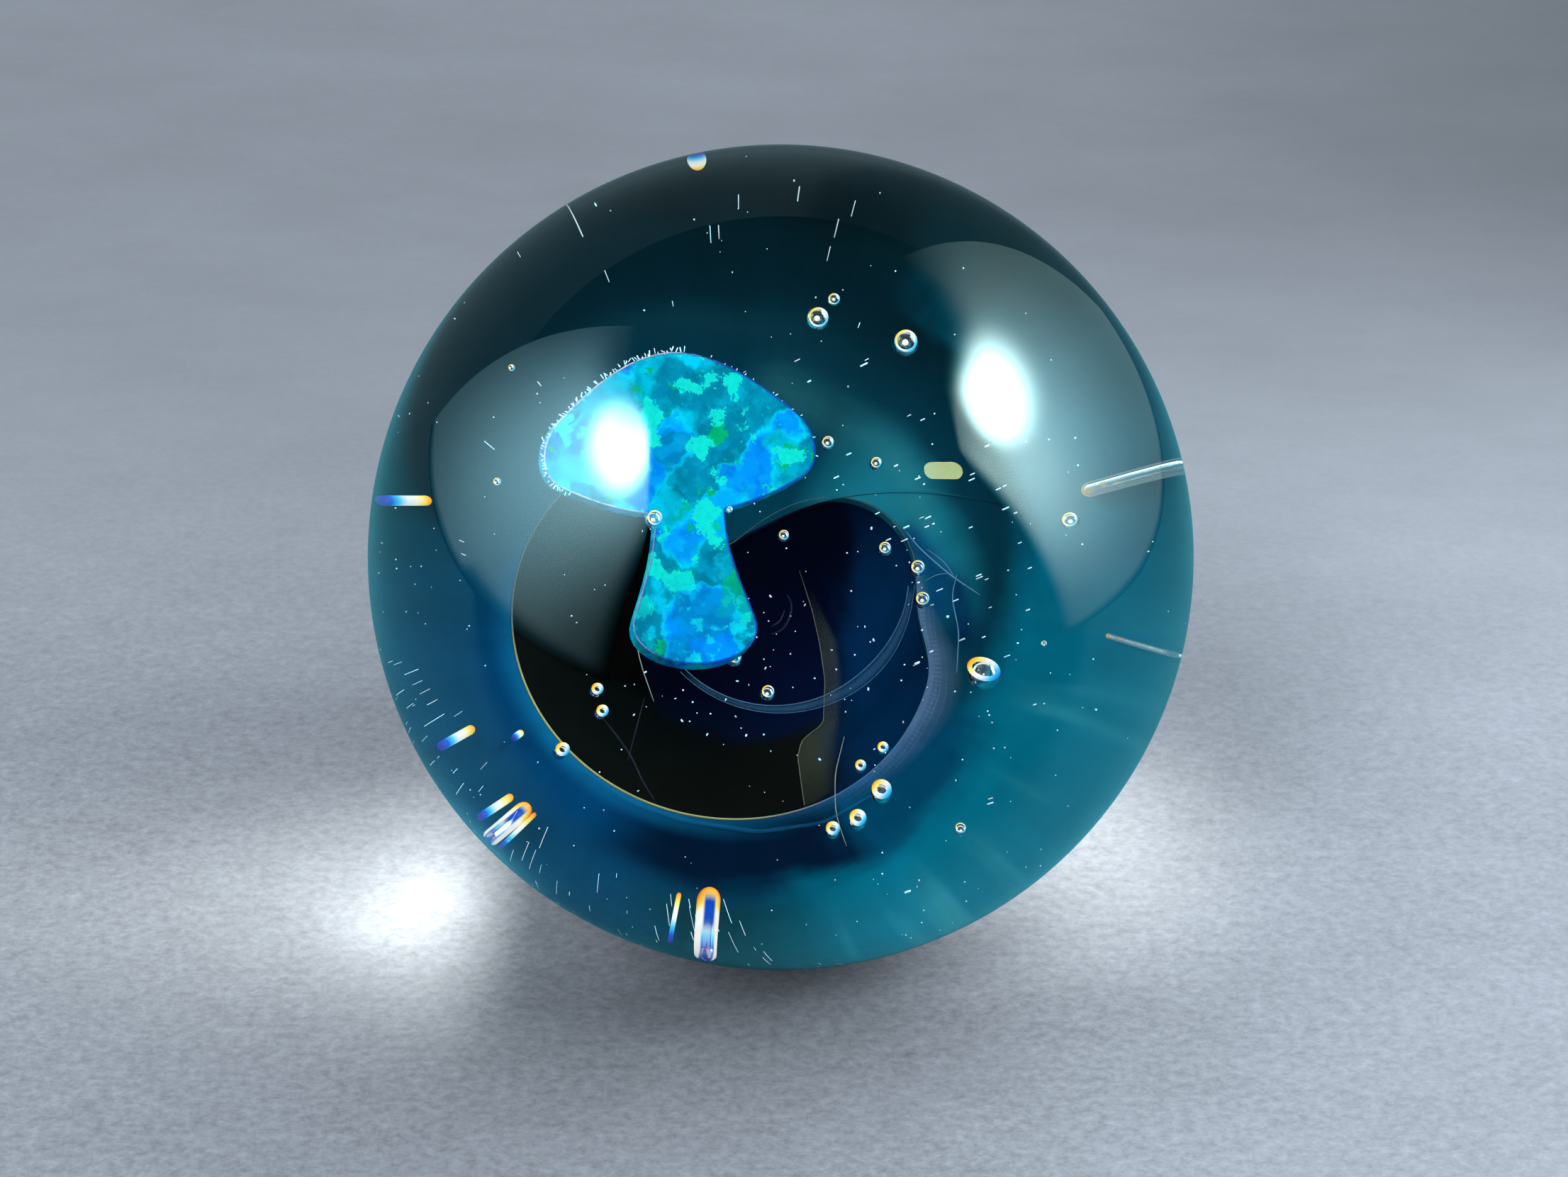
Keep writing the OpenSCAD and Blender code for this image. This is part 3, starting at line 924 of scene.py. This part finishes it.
# ---- Opal mushroom ----
def opal_mushroom():
    """The opal with its rims rounded off. Gives its face's outline and the face's normal."""
    work = window_mesh("opal_mushroom")
    bmesh.ops.dissolve_limit(
        work, angle_limit=math.radians(0.5), verts=work.verts[:], edges=work.edges[:]
    )
    work.normal_update()
    face = max((f for f in work.faces if f.normal.z > 0.9), key=lambda f: f.calc_area())
    outline, normal = np.array([v.co[:] for v in face.verts]) / MM, np.array(face.normal[:])
    rims = [e for e in work.edges if e.calc_face_angle(0) > math.radians(60)]
    bmesh.ops.bevel(work, geom=rims, offset=0.1 * MM, segments=4, profile=0.6, affect="EDGES")
    points, faces = taken(work)
    add_piece("opal_cutout", points / MM, faces, opal(), "opal", ("opal_mushroom",), 40)
    return outline, normal


OPAL_OUTLINE, OPAL_NORMAL = opal_mushroom()


def opal_rim():
    """A painted highlight along the edge of the opal's face, and the fuzz of tiny bubbles along
    the cap, which glow with a painted glint.
    """
    ring = np.concatenate([OPAL_OUTLINE, OPAL_OUTLINE[:1]])
    length = distances(ring)[-1]
    loop = places_on(ring, np.linspace(0, length, int(length / LINE_STEP), endpoint=False))
    line = tube(np.concatenate([loop, loop[:1]]), 0.036, 6)
    add_piece("opal_rim", *line, opal_rim_glass(), "opal")
    out = np.cross(np.roll(loop, -1, 0) - np.roll(loop, 1, 0), OPAL_NORMAL)
    out /= np.linalg.norm(out, axis=1)[:, None]
    if ((loop - loop.mean(0)) * out).sum() < 0:
        out = -out
    draw = np.random.default_rng(11)
    fuzz = Pile()
    ball, ball_faces = ico(1)
    for place, way in zip(loop, out):
        left = place[0] < -2.4
        if place[1] < 3.4 or draw.random() > (0.95 if left else 0.2):
            continue
        long = draw.uniform(0.05, 0.19) * (1.0 if left else 0.5)
        lean = way + 0.35 * draw.normal(size=3)
        lean /= np.linalg.norm(lean)
        radius = draw.uniform(0.014, 0.026) * (1.25 if left else 0.9)
        place = place + way * (0.04 + long / 2) + draw.normal(size=3) * 0.03
        fuzz.add(place + capsule(ball, lean, long / 2, radius), ball_faces)
    fuzz.piece("opal_fuzz", seed_glass(), "opal")


opal_rim()

# ---- Ribbons, the well's edge and fine lines ----
def inner_ribbon():
    """The ribbon that sinks into the well as it turns, with a fine line along each edge."""
    s = np.linspace(0, 1, 70)
    a = INNER_FROM + (INNER_TO - INNER_FROM) * s
    centres = raised(INNER_AT + polar(INNER_R, a), INNER_Z - INNER_DROP * s)
    sin, cos = math.sin(math.radians(INNER_LEAN)), math.cos(math.radians(INNER_LEAN))
    out = polar(1.0, a)
    half = INNER_W / 2 * (1 - 0.55 * s) * (0.3 + 0.7 * smooth(s / 0.4))
    across = raised(out * sin, cos) * half[:, None]
    points, faces, fields = strip(centres, across, raised(out * cos, -sin))
    slot, node = "pale_ribbon", ("inner_ribbon",)
    add_piece("inner_ribbon_glass", points, faces, pale_veil(), slot, node, fields=fields)
    lines = Pile()
    lines.add(*tube(centres - across, 0.022 * (1 - 0.3 * s), 6))
    lines.add(*tube(centres + across, 0.013 * (1 - 0.3 * s), 6))
    lines.piece("inner_ribbon_edges", wisp_glass("ribbon_edge", (112, 168, 210), 0.34), slot)


inner_ribbon()


def outer_ribbon():
    """The crescent that lies on the bowl beside the well."""
    s = np.linspace(0, 1, 100)
    a = (OUTER_FROM + (OUTER_TO - OUTER_FROM) * s)[:, None]
    width = softened(OUTER_W * np.interp(s, *zip(*OUTER_SHARE)), 13)[:, None]
    shares = np.linspace(0, 1, 13)
    flat = WELL_AT + polar(well_edge(a) + width * shares, a)
    rings = np.concatenate([laid_on_bowl(flat, 0.09), laid_on_bowl(flat)[:, ::-1]], 1)
    rows, ring = rings.shape[:2]
    across = np.tile(np.concatenate([shares, shares[::-1]]) * 2 - 1, rows)
    fields = {"across": across, "along": np.repeat(s, ring)}
    points, faces = rings.reshape(-1, 3), closed_faces(rows, ring)
    slot, node = "pale_ribbon", ("outer_ribbon",)
    add_piece("outer_ribbon_glass", points, faces, lavender_veil(), slot, node, fields=fields)


outer_ribbon()

# Gold ribbon: place along y, left edge, right edge
GOLD_OUTLINE = [
    (2.4, 2.72, 2.82),
    (1.1, 2.88, 3.24),
    (0.0, 2.92, 3.54),
    (-1.15, 2.87, 3.44),
    (-2.5, 2.57, 3.12),
    (-2.9, 1.85, 3.04),
    (-3.4, 1.62, 2.9),
    (-4.2, 1.58, 2.76),
    (-4.9, 1.55, 2.66),
]
GOLD_Z, GOLD_RISE = LIP_Z - 1.7, 0.8


def gold_ribbon():
    """The fumed ribbon across the funnel, with a fine line along its left edge."""
    y = np.linspace(GOLD_OUTLINE[0][0], GOLD_OUTLINE[-1][0], 120)
    at, *sides = np.array(GOLD_OUTLINE)[::-1].T
    left, right = (softened(np.interp(y, at, side), 5) for side in sides)
    z = GOLD_Z + GOLD_RISE * np.linspace(0, 1, len(y))
    centres = np.stack([(left + right) / 2, y, z], -1)
    across = np.stack([(right - left) / 2, 0 * y, 0 * y], -1)
    points, faces, fields = strip(centres, across, np.array([[0, 0, 1.0]]))
    slot, node = "gold_ribbon", ("gold_ribbon",)
    add_piece("gold_ribbon_glass", points, faces, gold_veil(), slot, node, fields=fields)
    line = tube(np.stack([left, y, z + 0.03], -1), 0.016, 6)
    add_piece("gold_ribbon_edge", *line, wisp_glass("gold_edge", (150, 160, 136), 0.3), slot)


gold_ribbon()


def lip_highlight_line():
    """A painted highlight: a bright line along the well's edge, thickest at the front left."""
    a = np.append(np.arange(-95.0, 265.0, 0.8), -95.0)
    thick = 0.021 + 0.012 * smooth(1 - np.abs(wrap(a + 135)) / 90)
    line = tube(laid_on_bowl(WELL_AT + polar(well_edge(a), a)), thick)
    add_piece("lip_highlight_line", *line, lip_highlight_glass(), "teal_glass")


lip_highlight_line()


# Drawn lines of glass on the window's plane: points, thickness, and height for those that hang
# in the well
LONG_WEB = [(5.78, 2.58), (6.02, 2.11), (6.45, 1.55), (6.89, 1.01), (7.1, 0.8), (7.6, 0.3)]
WEB_LINES = [
    (LONG_WEB, 0.026, None),
    ([(7.04, 1.04), (6.78, 0.4), (6.84, -0.7), (6.55, -2.0)], 0.018, None),
    ([(6.3, 1.95), (6.75, 1.5), (6.95, 1.0)], 0.014, None),
    ([(6.1, 1.0), (6.5, 1.15), (6.85, 1.1)], 0.012, None),
]
SECOND_LIP = [
    (-5.56, -3.45), (-4.15, -4.75), (-2.63, -5.52), (-0.33, -6.2), (1.77, -6.15), (3.52, -5.4),
]
RIGHT_HAIR = [
    (2.87, -3.52), (2.62, -4.1), (2.37, -4.67), (2.17, -5.82), (2.21, -6.4), (2.3, -6.97),
]
HAIR_LINES = [
    ([(-2.75, 1.02), (-2.77, 0.42), (-2.73, -0.19), (-2.54, -1.27)], 0.014, -12.5),
    (RIGHT_HAIR, 0.014, None),
]
LONG_WISP = [
    (-4.02, -1.38), (-3.72, -1.94), (-3.47, -2.42), (-3.31, -2.8), (-3.12, -3.5), (-2.84, -4.1),
]
WELL_WISPS = [
    ([(1.5, 0.5), (1.75, 0.45), (2.1, 0.8), (2.34, 1.35), (2.17, 1.65)], 0.035, -13.2),
    ([(1.55, 0.75), (1.85, 0.85), (2.05, 1.2)], 0.03, -13.3),
    (LONG_WISP, 0.03, -12.9),
    ([(-2.67, -0.94), (-3.02, -1.77), (-3.45, -2.78)], 0.022, -13.0),
]


def drawn_lines(name, lines, tint, alpha):
    """Fine lines with thin ends, laid on the bowl or hung in the well."""
    pile = Pile()
    for path, thick, height in lines:
        length = distances(path)[-1]
        flat = places_on(path, np.linspace(0, length, max(12, int(length / LINE_STEP))))
        for _ in range(6):
            flat[1:-1] = 0.5 * flat[1:-1] + 0.25 * (flat[:-2] + flat[2:])
        points = laid_on_bowl(flat, 0.08) if height is None else raised(flat, height)
        taper = 0.35 + 0.65 * np.sin(math.pi * np.linspace(0, 1, len(flat))) ** 0.5
        pile.add(*tube(points, thick * taper, 6))
    pile.piece(name, wisp_glass(name, tint, alpha), "pale_ribbon")


drawn_lines("web_lines", WEB_LINES, (120, 176, 214), 0.5)
drawn_lines("second_lip", [(SECOND_LIP, 0.06, None)], (30, 122, 176), 0.22)
drawn_lines("hair_lines", HAIR_LINES, (176, 190, 186), 0.7)
drawn_lines("well_wisps", WELL_WISPS, (84, 100, 124), 0.12)


def seeds():
    """Seeds through the clear glass, round near the middle and drawn out towards the rim."""
    draw = np.random.default_rng(5)
    pile = Pile()
    ball, ball_faces = ico(1)

    def put(r, a, lift, way, long, thin, thick):
        z = max(float(bowl_z(min(r, RIM_R))), WELL_FLOOR) + lift
        way = np.asarray(way, float) / np.linalg.norm(way)
        shape = capsule(ball, way, long / 2, draw.uniform(thin, thick))
        pile.add(raised(polar(r, a), z) + shape, ball_faces)

    for _ in range(260):
        r, a = 15.5 * math.sqrt(draw.random()), draw.uniform(0, 360)
        put(r, a, draw.uniform(0.3, 6), draw.normal(size=3), 0.0, 0.014, 0.032)
    # over the well
    for _ in range(110):
        r, a = draw.uniform(0, 6.5), draw.uniform(0, 360)
        put(r, a, draw.uniform(0, 3), draw.normal(size=3), draw.choice([0, 0.05]), 0.014, 0.034)
    # on the right of the well
    for _ in range(60):
        r, a = draw.uniform(5.5, 9.5), draw.normal(10, 28)
        put(r, a, draw.uniform(0.2, 2), [1, 0.3, 0], draw.uniform(0, 0.2), 0.014, 0.03)
    # streaks at the front left
    for _ in range(110):
        a, r = draw.uniform(176, 275), draw.uniform(9.5, 17.0)
        way = [*polar(1, a + 16), 0.25]
        put(r, a, draw.uniform(0.3, 2.0), way, draw.uniform(0.1, 1.1), 0.006, 0.013)
    # towards the back
    for _ in range(40):
        a, r = draw.uniform(60, 170), draw.uniform(9, 16)
        way = [*polar(1, a), 0.4]
        put(r, a, draw.uniform(0.5, 5), way, draw.choice([0, 0, 0.15, 0.4]), 0.012, 0.022)
    pile.piece("seeds", seed_glass(), "clear_glass")


seeds()


# ---- Studio ----
def stage_mesh(name, points, faces, material, fields=None):
    """Something that stands round the marble and is no part of it."""
    thing = made_object(name, points, faces, material, fields)
    return thing


def paper():
    """Grey paper with smears and a fine fleck, with its light painted in: paler near the front, a
    painted shadow under the marble, and two painted pools of glowing light where light through the
    glass would fall. In the glass it shows as a painted reflection, tinted blue-green."""
    s = Shader("paper", leaned=False)
    at = s.place()
    x, y, _ = s.parts(at)
    smear = s.noise(s.vector("MULTIPLY", at, (0.05, 0.12, 0.1)), 1, 6, 0.66)
    fleck = s.noise(s.vector("MULTIPLY", at, (1, 1.6, 1)), 0.42, 6, 0.78)
    tooth = s.noise(s.vector("MULTIPLY", at, (1, 1.5, 1)), 1.5, 4, 0.75)

    def pool(middle, wide, deep):
        u, v = (x - middle[0]) / wide, (y - middle[1]) / deep
        return s.math("EXPONENT", (u * u + v * v) * -1)

    # Painted light: the paper is paler at the front than far behind; at the front it grows paler
    # to the right, far behind it grows darker to the right.
    far = s.step(y, 15, 78)
    near_light = 0.32 + 0.13 * s.step(x, -30, 45)
    far_light = 0.25 - 0.09 * s.step(x, 0, 75)
    light = near_light + (far_light - near_light) * far
    # Painted shadow: two soft dark patches under and in front of the marble.
    light = light * (1 - pool((-8, -16), 22, 9) * 0.34) * (1 - pool((0, -12), 12, 5) * 0.3)
    bite = (1 - 0.9 * s.step(y, -4, 46)) * (1 - 0.3 * s.step(x, 5, 45))
    light = light * (0.85 + 0.3 * smear + (0.5 * fleck - 0.25 + 1.25 * tooth - 0.625) * bite)
    shade = s.times((0.885, 1, 1.15), light)

    # Painted light: two glowing pools on the paper, left and right of the marble, where light
    # through the glass would gather.
    tail = s.math("EXPONENT", (x + 21).low(0) / 12) * pool((-21, -4.2), 1e6, 7.6)
    left = tail * s.step(x, -13.5, -20.5) * 0.74
    left = left + pool((-22.4, -6), 2.8, 2.3) * 0.18 + pool((-19.9, -3.8), 2.8, 2.3) * 0.22
    right = pool((17.3, 0.8), 7.8, 8) * 0.56
    pools = (left + right) * (1 + (0.4 * fleck - 0.2 + tooth - 0.5) * 0.9)
    # Painted reflection: where the glass mirrors it, the paper and its pools turn blue-green,
    # dimmer at the front and the far right, paler far behind and at the near left.
    mirrored = s.ray("Is Glossy Ray")
    warmth = s.mix((0.93, 1, 1.04, 1), (0.06, 0.3, 0.42, 1), mirrored)

    away = s.step(y, 45, 95)
    dim = (1 - 0.35 * s.step(x, 20, 50) * away) * (1 - 0.85 * s.step(y, -20, -34))
    dim = dim * (1 + 0.3 * s.step(y, 130, 200) * s.bump_at(x, 0, 120))
    dim = dim * (1 + 0.5 * s.step(x, -25, -45) * (1 - away))
    tint = s.mix((0.18, 0.66, 0.7, 1), (0.36, 0.5, 0.48, 1), away)
    tinted = s.vector("MULTIPLY", s.times(shade, dim), tint)
    return s.matt(s.mix(shade, tinted, mirrored), 0.9, glow=s.times(warmth, pools))


def paper_sweep():
    """Paper that lies flat, and curves up behind."""
    bend, side = 170, 3000
    turns = np.radians(range(6, 85, 6))
    profile = [(-side, 0), (-600, 0), (0, 0), (bend, 0)]
    profile += [(bend + bend * math.sin(k), bend - bend * math.cos(k)) for k in turns]
    profile.append((348, 285))
    points = [(x, y, z - MARBLE_R) for x in (-side, side) for y, z in profile]
    n = len(profile)
    faces = [(i, n + i, n + i + 1, i + 1) for i in range(n - 1)]
    stage_mesh("paper_sweep", points, faces, paper())


paper_sweep()


def glow_card(name, points, faces, s, tint, light, fields=None):
    """A glowing card that shows only in the glass and lights nothing."""
    light = light * s.unscattered()
    glow = s.node("Emission", inputs={"Color": tint, "Strength": light})
    card = stage_mesh(name, points, faces, s.finish(glow), fields)
    card.visible_camera = card.visible_diffuse = card.visible_shadow = False


def soft_card(name, foot, tops, low, tint, haze, spots, dip, end_fade, melt, foot_fade):
    """An upright diffuser that stands on a line on the floor. Each spot of lamplight on it is a
    place (along, height), two half widths, a lean, a strength and how square its edge is, and
    the dip in the light is the same with the share that it takes. The card's end, its top and
    the far part of its foot fade out; melt is where the top fades most, and by how much more."""
    s = Shader(name, leaned=False)
    along, fade = s.field("along"), s.field("fade")
    _, _, height = s.parts(s.place())

    def spot(place, halves, lean, square):
        cos, sin = math.cos(math.radians(lean)), math.sin(math.radians(lean))
        a = ((along - place[0]) * cos + (height - place[1]) * sin) / halves[0]
        b = ((height - place[1]) * cos - (along - place[0]) * sin) / halves[1]
        return s.math("EXPONENT", (a * a + b * b) ** square * -1.0)

    light = fade * haze
    for *shape, strength, square in spots:
        light = light + spot(*shape, square) * fade * strength
    light = light * (1 - spot(*dip[:3], 2.0) * dip[3])
    thin = (tint[0] * 0.3, tint[1] * 0.95, tint[2] * 1.15, 1.0)
    shade = s.mix(thin, tint, s.step(fade, 0.1, 0.85))

    rows, columns = 60, 40
    at = np.linspace(0, distances(foot)[-1], rows)[:, None]
    top = np.interp(at, *zip(*tops))
    z = low + (top - low) * np.linspace(0, 1, columns)
    points = raised(np.repeat(places_on(foot, at[:, 0])[:, None], columns, 1), z).reshape(-1, 3)
    soft = 9.0 + melt[1] * np.exp(-(((at - melt[0]) / 60) ** 2))
    shown = smooth((top - z) / soft) * smooth((at[-1] - at) / end_fade)
    shown = shown * smooth((z - low) / (0.1 + foot_fade * smooth((at - 60) / 16)))
    fields = {"along": at + 0 * z, "fade": shown}
    glow_card(name, points, grid_faces(rows, columns), s, shade, light, fields)


soft_card(
    "left_diffuser",
    foot=[(-100, 60), (-100, -115)],
    tops=[(0, 165), (100, 165), (128, 150), (150, 130), (164, 116), (175, 80)],
    low=0,
    tint=(0.45, 0.9, 1.04, 1.0),
    haze=0.4,
    spots=[
        ((96, 125), (32, 33.5), 0, 60, 3.0),
        ((95, 120), (52, 52), 0, 15, 1.0),
        ((78, 50), (50, 44), 0, 4.6, 1.0),
    ],
    dip=((42, 162), (52, 52), 0, 0.9),
    end_fade=26,
    melt=(40, 20),
    foot_fade=12,
)
soft_card(
    "right_diffuser",
    foot=[(58, 95), (64, 78), (74, 60), (88, 40), (106, 20), (136, -4), (180, -42), (205, -64)],
    tops=[(0, 120), (36, 116), (54, 120), (74, 132), (108, 158)]
    + [(134, 168), (160, 176), (193, 186), (219, 164)],
    low=-22,
    tint=(0.6, 0.92, 0.9, 1.0),
    haze=0.35,
    spots=[
        ((101, 101), (45, 25), 40, 50, 2.0),
        ((132, 88), (72, 62), 0, 14, 1.0),
        ((186, 140), (28, 36), 0, 5, 1.0),
    ],
    dip=((45, 145), (100, 46), 38, 0.93),
    end_fade=40,
    melt=(55, 34),
    foot_fade=0,
)


def lamp_bar():
    """A small bar lamp that shows in the glass."""
    middle, side = Vector((69.0, -36.7, 78.1)), Vector((13.4, 9.2, -9.6)).normalized()
    up = middle.cross(side).normalized()
    turn = np.radians(np.arange(0, 360, 10))
    across, tall = (np.sign(np.cos(turn)) * 0.55 + np.cos(turn) * 0.45) * 9.5, np.sin(turn) * 3.8
    points = [middle + side * float(u) + up * float(v) for u, v in zip(across, tall)]
    faces, tint = [tuple(range(len(points)))], (0.82, 1.0, 0.42, 1.0)
    glow_card("lamp_bar", points, faces, Shader("lamp_bar"), tint, 14)


lamp_bar()


LAMP_SIZE, LAMP_AWAY = 0.35, 0.6


def soft_lamp(name, direction, watts):
    """A round lamp that shines on the marble and doesn't show in it."""
    data = bpy.data.lights.new(name, "AREA")
    data.shape = "DISK"
    data.size = LAMP_SIZE
    data.energy = watts
    lamp = bpy.data.objects.new(name, data)
    bpy.context.scene.collection.objects.link(lamp)
    way = Vector(direction).normalized()
    lamp.location = way * LAMP_AWAY
    lamp.rotation_euler = (-way).to_track_quat("-Z", "Y").to_euler()
    lamp.visible_glossy = lamp.visible_transmission = False


soft_lamp("left_lamp", (-0.66, -0.14, 0.74), 2.0)
soft_lamp("right_lamp", (0.77, 0.23, 0.59), 2.2)


def studio():
    """Pale surroundings; above the paper the room is dim where the glass mirrors it."""
    s = Shader("studio", world=True)
    bpy.context.scene.world = s.made
    pale, fill, bright, gloom = (
        s.node("Background", inputs={"Color": shade, "Strength": 1.0})
        for shade in (
            colour(150, 157, 167),
            (0.53, 0.55, 0.58, 1),
            (0.8, 0.86, 0.9, 1),
            (0.012, 0.014, 0.016, 1),
        )
    )
    light = s.blend(s.ray("Is Camera Ray"), fill, pale)
    light = s.blend(s.ray("Is Glossy Ray"), light, gloom)
    through = s.blend(s.unscattered(), fill, bright)
    s.finish(s.blend(s.ray("Is Transmission Ray"), light, through))


studio()

# ---- Camera ----
ELEVATION = math.radians(40)
LENS, SENSOR = 75.0, 36.0
DISTANCE = 7.9717 * MARBLE_R * MM
ASIDE, BELOW = 0.00778 * MARBLE_R * MM, 0.0752 * MARBLE_R * MM

camera = bpy.data.objects.new("camera", bpy.data.cameras.new("camera"))
bpy.context.scene.collection.objects.link(camera)
camera.data.lens, camera.data.sensor_width = LENS, SENSOR
right = Vector((1, 0, 0))
up = Vector((0, math.sin(ELEVATION), math.cos(ELEVATION)))
back = right.cross(up)
camera.location = right * ASIDE - up * BELOW + back * DISTANCE
camera.rotation_euler = Matrix((right, up, back)).transposed().to_euler()
camera.data.clip_start = 0.005
bpy.context.scene.camera = camera

bpy.context.scene.view_settings.view_transform = "Standard"
